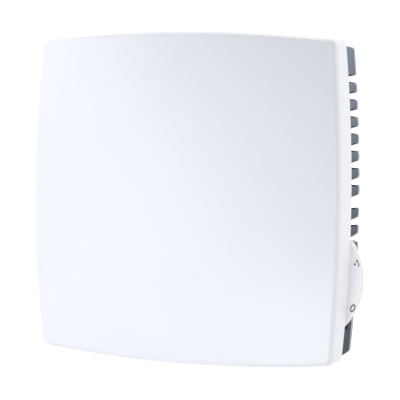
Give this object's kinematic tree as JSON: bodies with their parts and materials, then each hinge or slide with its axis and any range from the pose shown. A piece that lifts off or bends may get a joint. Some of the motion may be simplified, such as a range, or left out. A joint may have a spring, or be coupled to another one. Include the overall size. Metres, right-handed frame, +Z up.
{
  "type": "room temperature sensor",
  "caption": "Wall-mounted room temperature sensor: square domed white casing with slotted sides and a printed set-point thumb-wheel through its right side.",
  "frame": {"origin": "midway between the two wall screws, on the back face that rests on the wall", "axes": "+Y into the wall, so the domed front faces -Y; +Z up the wall; +X to the right, where the wheel sticks out"},
  "size_m": [0.0981, 0.029, 0.095],
  "materials": {
    "casing_white": "satin moulded ABS",
    "frame_dark": "satin moulded ABS",
    "board_green": "solder mask over glass epoxy",
    "screw_steel": "zinc plated",
    "tinned_metal": "tinned",
    "black_plastic": "moulded",
    "track_carbon": "screen-printed carbon on phenolic board",
    "natural_plastic": "moulded acetal",
    "terminal_green": "moulded polyamide",
    "jumper_blue": "moulded",
    "pin_gold": "gold flashed",
    "contact_bronze": "rolled phosphor bronze",
    "resistor_beige": "lacquered",
    "capacitor_red": "dipped epoxy"
  },
  "bodies": {
    "housing": {"rear_housing": "casing_white", "inner_frame": "frame_dark", "circuit_board": "board_green", "board_screws": "screw_steel", "potentiometer_case": "black_plastic", "potentiometer_lid": "tinned_metal", "potentiometer_track": "track_carbon", "potentiometer_pins": "tinned_metal", "temperature_sensor": "black_plastic", "sensor_leads": "tinned_metal", "sensor_holder": "natural_plastic", "terminal_block": "terminal_green", "terminal_cages": "tinned_metal", "terminal_screws": "screw_steel", "terminal_pins": "tinned_metal", "jumper_base": "black_plastic", "jumper_pins": "pin_gold", "jumper_cap": "jumper_blue", "resistors": "resistor_beige", "resistor_leads": "tinned_metal", "capacitor": "capacitor_red", "capacitor_leads": "tinned_metal"},
    "wheel": {"setpoint_wheel": "casing_white", "wheel_screw": "screw_steel", "potentiometer_shaft": "screw_steel", "wiper_rotor": "natural_plastic", "wiper_contact": "contact_bronze"},
    "cover": {"front_cover": "casing_white"}
  },
  "joints": [
    {"name": "wheel_turn", "type": "hinge", "parent": "housing", "child": "wheel", "pos_m": [0.0308, -0.014, -0.022], "axis": [0, 1, 0], "range_deg": [-165, 85]},
    {"name": "cover_pull", "type": "slide", "parent": "housing", "child": "cover", "axis": [0, -1, 0], "range_m": [0, 0.03]}
  ]
}
